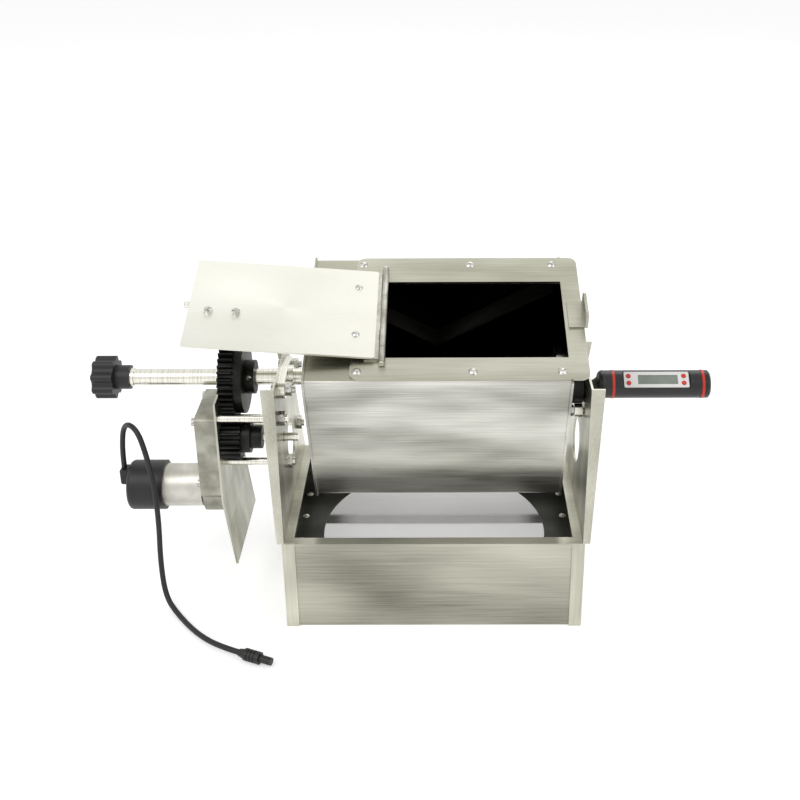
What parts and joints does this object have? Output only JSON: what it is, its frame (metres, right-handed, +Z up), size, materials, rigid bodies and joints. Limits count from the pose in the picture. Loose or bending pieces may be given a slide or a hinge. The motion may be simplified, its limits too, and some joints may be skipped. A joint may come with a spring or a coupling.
{
  "type": "home coffee bean roaster",
  "caption": "Countertop roaster: a square sheet-metal drum with a hinged lid, turned over a burner opening by a geared motor, with a sampler and a probe thermometer.",
  "frame": {"origin": "centre of the burner hole, on the underside of the burner plate; the floor is 37 mm below it", "axes": "+X along the drum's axis towards the thermometer, -Y towards the user, +Z up"},
  "size_m": [0.4477, 0.1939, 0.2575],
  "materials": {
    "satin_sheet": "brushed",
    "plate_sheet": "mill finish, dulled by heat",
    "drum_sheet": "brushed, bright",
    "screws": "polished screw heads",
    "turned_steel": "bright turned",
    "hinge_steel": "satin",
    "gear_black": "blackened and oiled",
    "gearbox_zinc": "cast, satin",
    "motor_steel": "satin zinc plated",
    "black_plastic": "moulded, matt",
    "cord_rubber": "smooth black jacket",
    "handle_plastic": "semi-gloss",
    "red_plastic": "gloss",
    "panel_plastic": "white, gloss",
    "display_glass": "grey display under clear plastic"
  },
  "bodies": {
    "stand": {"upright_left": "satin_sheet", "upright_right": "satin_sheet", "front_panel": "satin_sheet", "back_panel": "satin_sheet", "base_rim": "satin_sheet", "burner_plate": "plate_sheet", "plate_ledges": "satin_sheet", "plate_screws": "screws", "shaft_bearing": "gear_black", "bearing_bolts": "screws", "motor_plate": "satin_sheet", "standoff_rods": "turned_steel", "standoff_nuts": "screws", "gearbox": "gearbox_zinc", "gearbox_screws": "screws", "motor_can": "motor_steel", "motor_cap": "black_plastic", "cord_grommet": "cord_rubber", "roller_bolts": "screws", "probe_guide": "satin_sheet", "cord": "cord_rubber", "dc_connector": "black_plastic"},
    "drum": {"drum_wrap": "drum_sheet", "drum_end_left": "drum_sheet", "drum_end_right": "drum_sheet", "mouth_frame": "satin_sheet", "frame_screws": "screws", "back_screws": "screws", "vanes_front": "drum_sheet", "vanes_back": "drum_sheet", "drum_shaft": "turned_steel", "driven_gear": "gear_black", "drum_hub": "gear_black", "hub_flange": "turned_steel", "latch_keeper": "satin_sheet", "hinge_leaf_drum": "hinge_steel", "hinge_pin": "turned_steel"},
    "lid": {"lid_plate": "satin_sheet", "lid_leaf": "hinge_steel", "lid_screws": "screws", "latch_base": "hinge_steel", "latch_screws": "screws"},
    "slide_bolt": {"latch_bolt": "turned_steel"},
    "driver": {"driver_gear": "gear_black", "driver_shaft": "turned_steel"},
    "front_roller": {"roller_front": "turned_steel"},
    "back_roller": {"roller_back": "turned_steel"},
    "sampler_slider": {"sampler_ferrule": "turned_steel"},
    "sampler": {"sampler_knob": "black_plastic", "sampler_scoop": "turned_steel"},
    "thermometer": {"thermometer_probe": "turned_steel", "thermometer_handle": "handle_plastic", "thermometer_rings": "red_plastic", "thermometer_panel": "panel_plastic", "thermometer_display": "display_glass"},
    "key_1": {"button_1": "red_plastic"},
    "key_2": {"button_2": "red_plastic"},
    "key_3": {"button_3": "red_plastic"},
    "key_4": {"button_4": "red_plastic"}
  },
  "joints": [
    {"name": "drum_spin", "type": "hinge", "parent": "stand", "child": "drum", "pos_m": [0, 0, 0.133], "axis": [1, 0, 0], "range_deg": [-100, 65]},
    {"name": "driver_spin", "type": "hinge", "parent": "stand", "child": "driver", "pos_m": [-0.138, -0.01975, 0.09424], "axis": [1, 0, 0], "range_deg": [-125, 192]},
    {"name": "roller_front_spin", "type": "hinge", "parent": "stand", "child": "front_roller", "pos_m": [0.105, -0.01178, 0.11084], "axis": [1, 0, 0], "range_deg": [-262, 402]},
    {"name": "roller_back_spin", "type": "hinge", "parent": "stand", "child": "back_roller", "pos_m": [0.105, 0.01178, 0.11084], "axis": [1, 0, 0], "range_deg": [-262, 402]},
    {"name": "lid_swing", "type": "hinge", "parent": "drum", "child": "lid", "pos_m": [-0.0333, -0.02289, 0.19357], "axis": [0, 0.9354, 0.3535], "range_deg": [0, 174.5]},
    {"name": "latch_slide", "type": "slide", "parent": "lid", "child": "slide_bolt", "axis": [-0.9954, -0.0339, 0.0897], "range_m": [-0.004, 0.0028]},
    {"name": "sampler_pull", "type": "slide", "parent": "drum", "child": "sampler_slider", "axis": [-1, 0, 0], "range_m": [0, 0.15]},
    {"name": "sampler_turn", "type": "hinge", "parent": "sampler_slider", "child": "sampler", "pos_m": [-0.225, 0, 0.133], "axis": [1, 0, 0], "continuous": true},
    {"name": "thermometer_pull", "type": "slide", "parent": "stand", "child": "thermometer", "axis": [1, 0, 0], "range_m": [0, 0.155]},
    {"name": "button_1_press", "type": "slide", "parent": "thermometer", "child": "key_1", "axis": [0, 0.6561, -0.7547], "range_m": [0, 0.0005], "stiffness_N_per_m": 20},
    {"name": "button_2_press", "type": "slide", "parent": "thermometer", "child": "key_2", "axis": [0, 0.6561, -0.7547], "range_m": [0, 0.0005], "stiffness_N_per_m": 20},
    {"name": "button_3_press", "type": "slide", "parent": "thermometer", "child": "key_3", "axis": [0, 0.6561, -0.7547], "range_m": [0, 0.0005], "stiffness_N_per_m": 20},
    {"name": "button_4_press", "type": "slide", "parent": "thermometer", "child": "key_4", "axis": [0, 0.6561, -0.7547], "range_m": [0, 0.0005], "stiffness_N_per_m": 20}
  ],
  "couplings": [
    {"joint": "driver_spin", "follows": "drum_spin", "ratio": -1.9},
    {"joint": "roller_front_spin", "follows": "drum_spin", "ratio": -4},
    {"joint": "roller_back_spin", "follows": "drum_spin", "ratio": -4}
  ]
}
